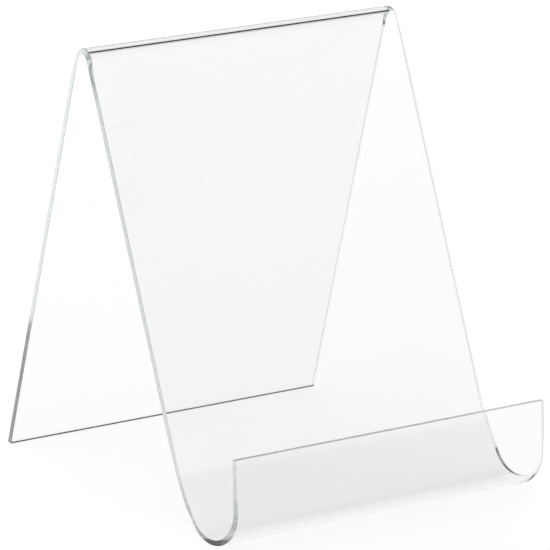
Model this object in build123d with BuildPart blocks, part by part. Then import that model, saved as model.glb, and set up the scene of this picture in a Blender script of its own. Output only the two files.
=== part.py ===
from build123d import *
from math import cos, radians
import os

# Book easel bent from one flat sheet of clear acrylic. Lengths in millimetres, angles in degrees.
# +Z is up, -Y is the reader's side and X runs across the width.
# The origin is on the ground, in the middle of the footprint.

width = 231
sheet_thickness = 3.5
edge_round = 0.3  # polished edges, all round the sheet

leg_lean = 10  # back leg from vertical, its top towards the reader
panel_lean = 26  # front panel from vertical, its top away from the reader
ridge_radius = 4.5  # inside radius of the tight bend that joins leg and panel
panel_length = 236  # flat length of the front panel

sweep_radius = 140.5  # book-side radius of the slow curve at the foot of the panel
sweep_turn = 15
trough_radius = 20.5  # book-side radius of the trough
trough_turn = 147
lip_length = 30  # flat length of the lip

# The sheet is level at the lowest point of the trough, and turns away from level on both sides.
turn_to_panel = 90 - panel_lean - sweep_turn
turn_to_lip = trough_turn - turn_to_panel
turn_at_ridge = 180 - panel_lean - leg_lean


def side_outline(lowest_y):
    """Side view of the bent sheet, with the lowest point of the trough at lowest_y."""
    with BuildSketch() as outline:
        with BuildLine():
            lip_bend = JernArc((lowest_y, 0), (-1, 0), trough_radius + sheet_thickness, -turn_to_lip)
            Line(lip_bend @ 1, lip_bend @ 1 + lip_length * (lip_bend % 1))
            trough = JernArc((lowest_y, 0), (1, 0), trough_radius + sheet_thickness, turn_to_panel)
            sweep = JernArc(trough @ 1, trough % 1, sweep_radius + sheet_thickness, sweep_turn)
            panel = Line(sweep @ 1, sweep @ 1 + panel_length * (sweep % 1))
            ridge = JernArc(panel @ 1, panel % 1, ridge_radius, -turn_at_ridge)
            leg_length = (ridge @ 1).Y / cos(radians(leg_lean))
            Line(ridge @ 1, ridge @ 1 + leg_length * (ridge % 1))
            offset(amount=sheet_thickness, side=Side.RIGHT)
        make_face()
    return outline.sketch


footprint = side_outline(0).bounding_box()
centred_outline = side_outline(-footprint.center().X)

with BuildPart() as easel_sheet:
    with BuildSketch(Plane.YZ):
        add(centred_outline)
    extrude(amount=width / 2, both=True)
    sides = easel_sheet.faces().filter_by(Axis.X)
    cut_ends = easel_sheet.faces().sort_by(SortBy.AREA)[:2]
    fillet(sides.edges() + cut_ends.edges().filter_by(Axis.X), radius=edge_round)

easel_sheet.part.label = "easel_sheet"

os.makedirs("parts", exist_ok=True)
export_step(easel_sheet.part, "parts/easel_sheet.step")
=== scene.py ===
from collections import namedtuple
from math import ceil, copysign, cos, exp, pi, radians, sin

import bpy
from mathutils import Matrix, Vector


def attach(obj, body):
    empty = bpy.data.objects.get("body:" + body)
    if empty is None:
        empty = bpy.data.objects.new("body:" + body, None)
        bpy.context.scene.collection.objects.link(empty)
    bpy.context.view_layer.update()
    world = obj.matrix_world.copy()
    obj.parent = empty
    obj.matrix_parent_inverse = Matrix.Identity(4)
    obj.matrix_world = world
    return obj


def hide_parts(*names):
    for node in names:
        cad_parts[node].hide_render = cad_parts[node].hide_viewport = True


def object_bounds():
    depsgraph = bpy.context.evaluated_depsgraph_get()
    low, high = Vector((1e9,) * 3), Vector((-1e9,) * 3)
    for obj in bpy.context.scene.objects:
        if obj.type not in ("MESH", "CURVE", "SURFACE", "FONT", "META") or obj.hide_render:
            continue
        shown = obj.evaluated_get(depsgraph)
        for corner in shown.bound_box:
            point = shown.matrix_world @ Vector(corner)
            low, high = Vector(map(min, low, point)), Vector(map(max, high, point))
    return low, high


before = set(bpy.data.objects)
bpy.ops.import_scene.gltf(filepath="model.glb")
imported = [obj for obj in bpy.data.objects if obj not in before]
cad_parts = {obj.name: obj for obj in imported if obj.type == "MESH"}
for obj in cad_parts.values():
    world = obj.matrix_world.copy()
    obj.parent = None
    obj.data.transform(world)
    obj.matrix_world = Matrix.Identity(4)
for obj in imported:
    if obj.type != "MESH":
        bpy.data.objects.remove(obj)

# A book easel bent from one sheet of clear acrylic, on a pale light table. Metres and radians.
# Directions on the sheet: across it, along its middle line from the lip to the foot, and through it.

NODE = "easel_sheet"

# The sheet, as the CAD node has it
THICKNESS = 0.0035
EDGE_ROUND = 0.0003
LEG_LEAN = radians(10)
PANEL_LEAN = radians(26)
RIDGE_RADIUS = 0.0045
PANEL_LENGTH = 0.236
SWEEP_RADIUS = 0.1405
SWEEP_TURN = radians(15)
TROUGH_RADIUS = 0.0205
TROUGH_TURN = radians(147)
LIP_LENGTH = 0.030

# What hot bending does: at the two ends of a bend its stretched side draws in
DRAWING_IN = 1e-4  # this times the square root of the bend's curvature is how far
END_REACH = 0.0045  # inwards from an end, it falls to 1 / e over this length
BEND_REACH = 0.012  # the flats beside a bend share in it over this length

# The mesh
ARC_STEP = radians(0.5)
ROUND_STEPS = 4
FINE_STEP = 0.001
COARSE_STEP = 0.014
FINE_ENDS = 3 * END_REACH  # across the sheet, the steps are fine this far in
NUDGE = 1e-5  # half the distance that a slope is measured over
TINY = 1e-5  # a part of a direction that is smaller counts as none
SAME_POINT = 1e-7

BOUNCES = 96  # light crosses the sheet many times, and runs along inside it

cad_low, cad_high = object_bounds()
HALF_WIDTH = (cad_high.x - cad_low.x) / 2
HALF_THICKNESS = THICKNESS / 2

Station = namedtuple("Station", "middle heading distance")
Ring = namedtuple("Ring", "middle heading distance lean share")


# ---------------------------------------------------------------- the middle line


def forward(heading):
    return Vector((cos(heading), sin(heading)))


def leftward(heading):
    return Vector((-sin(heading), cos(heading)))


def spread(length, fine_ends):
    """Distances from 0 to length, close together near both ends and further apart between."""
    near = [FINE_STEP * k for k in range(round(fine_ends / FINE_STEP) + 1)]
    middle = length - 2 * near[-1]
    steps = ceil(middle / COARSE_STEP)
    between = [near[-1] + middle * k / steps for k in range(1, steps)]
    return near + between + [length - d for d in reversed(near)]


class MiddleLine:
    """The sheet's middle line in the YZ plane, from the top of the lip to the foot of the leg."""

    def __init__(self, heading):
        self.stations = [Station(Vector((0, 0)), heading, 0.0)]
        self.bends = []  # (start, end, curvature, positive to the left)

    def line(self, length):
        start = self.stations[-1]
        for step in spread(length, BEND_REACH)[1:]:
            middle = start.middle + forward(start.heading) * step
            self.stations.append(Station(middle, start.heading, start.distance + step))

    def arc(self, turn, radius):
        """Turns by that angle, to the left if it's positive. Returns the arc's centre."""
        start = self.stations[-1]
        to_centre = copysign(radius, turn)
        centre = start.middle + leftward(start.heading) * to_centre
        steps = round(abs(turn) / ARC_STEP)
        for k in range(1, steps + 1):
            heading = start.heading + turn * k / steps
            middle = centre - leftward(heading) * to_centre
            self.stations.append(Station(middle, heading, start.distance + radius * abs(turn) * k / steps))
        self.bends.append((start.distance, self.stations[-1].distance, 1 / to_centre))
        return centre

    def move(self, shift):
        self.stations = [station._replace(middle=station.middle + shift) for station in self.stations]


def easel_line():
    """Lip, trough, sweep, panel, ridge and leg, in the row frame."""
    turn_to_panel = pi / 2 - PANEL_LEAN - SWEEP_TURN
    path = MiddleLine(turn_to_panel - TROUGH_TURN)
    path.line(LIP_LENGTH)
    trough_centre = path.arc(TROUGH_TURN, TROUGH_RADIUS + HALF_THICKNESS)
    path.arc(SWEEP_TURN, SWEEP_RADIUS + HALF_THICKNESS)
    path.line(PANEL_LENGTH)
    path.arc(PANEL_LEAN + LEG_LEAN - pi, RIDGE_RADIUS + HALF_THICKNESS)
    outer_radius = TROUGH_RADIUS + THICKNESS
    shift = Vector((cad_low.y + outer_radius, outer_radius)) - trough_centre
    leg_height = path.stations[-1].middle.y + shift.y - HALF_THICKNESS * sin(LEG_LEAN)
    path.line(leg_height / cos(LEG_LEAN))
    path.move(shift)
    return path


# ---------------------------------------------------------------- hot bending


def ease(share):
    """From 0 to 1, level at both ends."""
    share = min(max(share, 0), 1)
    return share * share * (3 - 2 * share)


def end_pull(bends, distance):
    """How far the stretched side draws in there, signed like the bend."""
    pull = 0
    for start, end, curvature in bends:
        outside = max(start - distance, distance - end, 0)
        pull += copysign(DRAWING_IN * abs(curvature) ** 0.5, curvature) * ease(1 - outside / BEND_REACH)
    return pull


def bent_place(bends, x, distance, through):
    """Where hot bending leaves a point of the plain sheet."""
    pull = end_pull(bends, distance) * exp((abs(x) - HALF_WIDTH) / END_REACH)
    drawn_in = abs(pull) / 2 - pull * through / THICKNESS
    return Vector((x - copysign(drawn_in, x), distance, through))


def bent_normal(bends, place, normal):
    """The plain sheet's normal there, turned as hot bending turns the surface."""
    slopes = []
    for axis in range(3):
        nudge = Vector([NUDGE if k == axis else 0 for k in range(3)])
        slopes.append(bent_place(bends, *(place + nudge)) - bent_place(bends, *(place - nudge)))
    a, b, c = slopes
    return (b.cross(c) * normal.x + c.cross(a) * normal.y + a.cross(b) * normal.z).normalized()


# ---------------------------------------------------------------- the bent sheet


def section():
    """(core point, outward direction) round the sheet's cross-section: x across it, y through it."""
    core_x, core_y = HALF_WIDTH - EDGE_ROUND, HALF_THICKNESS - EDGE_ROUND
    across = [step - core_x for step in spread(2 * core_x, FINE_ENDS)[1:-1]]
    outline = []
    for quarter, (side, face) in enumerate(((1, 1), (-1, 1), (-1, -1), (1, -1))):
        for k in range(ROUND_STEPS + 1):
            angle = (quarter + k / ROUND_STEPS) * pi / 2
            outline.append((Vector((side * core_x, face * core_y)), Vector((cos(angle), sin(angle)))))
        if side == face:
            outline += [(Vector((-side * x, face * core_y)), Vector((0, face))) for x in across]
    return outline


def rings(stations):
    """The sections along the sheet. At its two cut ends they shrink to the core, to round the corners."""
    rounding = []
    for k in range(ROUND_STEPS + 1):
        angle = pi / 2 * k / ROUND_STEPS
        rounding.append((EDGE_ROUND * (1 - sin(angle)), sin(angle), cos(angle)))
    first, last = stations[0], stations[-1]
    made = []
    for inset, lean, share in reversed(rounding):
        middle = first.middle + forward(first.heading) * inset
        made.append(Ring(middle, first.heading, first.distance + inset, -lean, share))
    made += [Ring(*station, 0.0, 1.0) for station in stations[1:-1]]
    for inset, lean, share in rounding:
        middle = last.middle - forward(last.heading) * inset
        made.append(Ring(middle, last.heading, last.distance - inset, lean, share))
    return made


def surface_points(path, sections, outline):
    """Points and normals in the row frame, and which point each place of each section is."""
    points, normals, known, places = [], [], {}, []
    for ring in sections:
        along, through = forward(ring.heading), leftward(ring.heading)
        to_row = Matrix(((1, 0, 0), (0, *along), (0, *through))).transposed()
        origin = Vector((0, *ring.middle))
        for core, out in outline:
            offset = core + out * EDGE_ROUND * ring.share
            plain = Vector((offset.x, ring.distance, offset.y))
            bent = bent_place(path.bends, *plain)
            point = origin + to_row @ Vector((bent.x, 0, bent.z))
            key = tuple(round(c / SAME_POINT) for c in point)
            if key not in known:
                known[key] = len(points)
                points.append(point)
                normal = Vector((out.x * ring.share, ring.lean, out.y * ring.share))
                normals.append(to_row @ bent_normal(path.bends, plain, normal))
            places.append(known[key])
    return points, normals, places


def end_faces(section_places):
    """One cut end, between its two long sides."""
    corners = list(dict.fromkeys(section_places))
    half = len(corners) // 2
    one_side, other_side = corners[:half], corners[:half - 1:-1]
    return [(one_side[k], one_side[k + 1], other_side[k + 1], other_side[k]) for k in range(half - 1)]


def surface_faces(places, sections, outline):
    """(corners, whether the face is on a cut edge). Corners that are the same point count once."""
    count = len(outline)
    faces = []
    for row in range(len(sections) - 1):
        at_end = abs(sections[row].lean) + abs(sections[row + 1].lean) > TINY
        for k in range(count):
            beside = (k + 1) % count
            at_side = abs(outline[k][1].x) + abs(outline[beside][1].x) > TINY
            corners = [places[row * count + i] for i in (beside, k, k + count, beside + count)]
            corners = list(dict.fromkeys(corners))
            if len(corners) > 2:
                faces.append((corners, at_end or at_side))
    faces += [(corners, True) for corners in end_faces(places[:count])]
    faces += [(corners[::-1], True) for corners in end_faces(places[-count:])]
    return faces


def bent_sheet(face_material, edge_material):
    path = easel_line()
    outline = section()
    sections = rings(path.stations)
    points, normals, places = surface_points(path, sections, outline)
    faces = surface_faces(places, sections, outline)
    mesh = bpy.data.meshes.new("bent_sheet")
    mesh.from_pydata(points, [], [corners for corners, _ in faces])
    mesh.materials.append(face_material)
    mesh.materials.append(edge_material)
    for polygon, (_, on_cut_edge) in zip(mesh.polygons, faces):
        polygon.material_index = int(on_cut_edge)
    mesh.shade_smooth()
    mesh.normals_split_custom_set_from_vertices(normals)
    sheet = bpy.data.objects.new("bent_sheet", mesh)
    bpy.context.scene.collection.objects.link(sheet)
    return sheet


# ---------------------------------------------------------------- materials


def acrylic(name, roughness, grain, relief):
    """Clear acrylic, a little blue-green through its depth, with a relief of that grain and height."""
    material = bpy.data.materials.new(name)
    material.use_nodes = True
    nodes, links = material.node_tree.nodes, material.node_tree.links
    shader = nodes["Principled BSDF"]
    shader.inputs["Base Color"].default_value = (0.95, 0.95, 0.95, 1)
    shader.inputs["Transmission Weight"].default_value = 1
    shader.inputs["IOR"].default_value = 1.49
    shader.inputs["Roughness"].default_value = roughness
    depth = nodes.new("ShaderNodeVolumeAbsorption")
    depth.inputs["Color"].default_value = (0.5, 0.63, 0.66, 1)
    depth.inputs["Density"].default_value = 1.0
    links.new(depth.outputs["Volume"], nodes["Material Output"].inputs["Volume"])
    place = nodes.new("ShaderNodeTexCoord")
    height = nodes.new("ShaderNodeTexNoise")
    height.inputs["Scale"].default_value = 1 / grain
    height.inputs["Detail"].default_value = 2
    bump = nodes.new("ShaderNodeBump")
    bump.inputs["Distance"].default_value = relief
    links.new(place.outputs["Object"], height.inputs["Vector"])
    links.new(height.outputs["Fac"], bump.inputs["Height"])
    links.new(bump.outputs["Normal"], shader.inputs["Normal"])
    return material


def light_table():
    """Matt, and lit from beneath, so that what stands on it casts only a faint shadow.

    It glows brighter towards the back: painted light, standing in for studio light that falls from behind.
    """
    material = bpy.data.materials.new("light_table")
    material.use_nodes = True
    nodes, links = material.node_tree.nodes, material.node_tree.links
    shader = nodes["Principled BSDF"]
    shader.inputs["Base Color"].default_value = (0.35, 0.35, 0.35, 1)
    shader.inputs["Roughness"].default_value = 0.6
    shader.inputs["Emission Color"].default_value = (1, 1, 1, 1)
    place = nodes.new("ShaderNodeTexCoord")
    split = nodes.new("ShaderNodeSeparateXYZ")
    # The glow rises from front to back: painted light, standing in for studio light falling from behind
    # the stand
    glow_with_painted_falloff = nodes.new("ShaderNodeMapRange")
    for name, value in (("From Min", -0.15), ("From Max", 0.7), ("To Min", 0.825), ("To Max", 0.89)):
        glow_with_painted_falloff.inputs[name].default_value = value
    links.new(place.outputs["Object"], split.inputs["Vector"])
    links.new(split.outputs["Y"], glow_with_painted_falloff.inputs["Value"])
    links.new(glow_with_painted_falloff.outputs["Result"], shader.inputs["Emission Strength"])
    return material


# ---------------------------------------------------------------- stage, light and camera


def stage():
    """A round pale floor that curves up into a low wall."""
    radius, wall_height, bend = 7.0, 0.9, 0.5
    profile = [(0.0, 0.0), (radius - bend, 0.0)]
    for degrees in range(10, 91, 10):
        angle = radians(degrees)
        profile.append((radius - bend + bend * sin(angle), bend - bend * cos(angle)))
    profile.append((radius, wall_height))
    turns = 96
    points, faces = [], []
    for r, z in profile:
        points += [(r * cos(2 * pi * k / turns), r * sin(2 * pi * k / turns), z) for k in range(turns)]
    for ring in range(len(profile) - 1):
        for k in range(turns):
            a, b = ring * turns + k, ring * turns + (k + 1) % turns
            faces.append((a, b, b + turns, a + turns))
    mesh = bpy.data.meshes.new("studio_floor")
    mesh.from_pydata(points, [], faces)
    mesh.materials.append(light_table())
    mesh.shade_smooth()
    floor = bpy.data.objects.new("studio_floor", mesh)
    bpy.context.scene.collection.objects.link(floor)
    return floor


def studio_room(*levels):
    """The light around, its levels given as (elevation in degrees, level).

    All of it is stronger behind the stand than in front of it.
    """
    world = bpy.data.worlds.new("studio")
    world.use_nodes = True
    nodes, links = world.node_tree.nodes, world.node_tree.links
    direction = nodes.new("ShaderNodeTexCoord")
    split = nodes.new("ShaderNodeSeparateXYZ")
    ramp = nodes.new("ShaderNodeValToRGB")
    strength = nodes.new("ShaderNodeMapRange")
    for name, value in (("From Min", -0.6), ("From Max", 0.6), ("To Min", 0.95), ("To Max", 1.4)):
        strength.inputs[name].default_value = value
    links.new(direction.outputs["Generated"], split.inputs["Vector"])
    links.new(split.outputs["Y"], strength.inputs["Value"])
    links.new(strength.outputs["Result"], nodes["Background"].inputs["Strength"])
    links.new(split.outputs["Z"], ramp.inputs["Fac"])
    links.new(ramp.outputs["Color"], nodes["Background"].inputs["Color"])
    elements = ramp.color_ramp.elements
    while len(elements) < len(levels):
        elements.new(0.5)
    for element, (elevation, level) in zip(elements, levels):
        element.position = sin(radians(elevation))
        element.color = (level, level, level, 1)
    bpy.context.scene.world = world


def camera():
    """In front of the stand, to its left and a little above it."""
    azimuth, elevation, roll = radians(-39.24), radians(17.44), radians(3.88)
    distance, lens = 3.429, 380.3
    aim_right, aim_up = -0.0074, -0.0078
    back = Vector((sin(azimuth) * cos(elevation), -cos(azimuth) * cos(elevation), sin(elevation)))
    level = Vector((cos(azimuth), sin(azimuth), 0))
    upright = back.cross(level)
    right = level * cos(roll) + upright * sin(roll)
    up = upright * cos(roll) - level * sin(roll)
    place = (cad_low + cad_high) / 2 + right * aim_right + up * aim_up + back * distance
    data = bpy.data.cameras.new("camera")
    data.lens = lens
    data.sensor_width = 36
    data.clip_end = 50
    eye = bpy.data.objects.new("camera", data)
    eye.matrix_world = Matrix.Translation(place) @ Matrix((right, up, back)).transposed().to_4x4()
    bpy.context.scene.collection.objects.link(eye)
    bpy.context.scene.camera = eye


sheet_face = acrylic("clear_acrylic", 0.0, 0.04, 2e-5)
cut_edge = acrylic("cut_edge", 0.15, 0.001, 2e-6)
sheet = bent_sheet(sheet_face, cut_edge)
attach(sheet, "root")
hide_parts(NODE)

stage()

# Pale walls, a dark band above them, and a pale ceiling
studio_room((27.5, 0.66), (29.5, 0.0), (54, 0.0), (58, 0.75))
camera()

cycles = bpy.context.scene.cycles
cycles.max_bounces = BOUNCES
cycles.glossy_bounces = BOUNCES
cycles.transmission_bounces = BOUNCES
bpy.context.scene.view_settings.view_transform = "Standard"
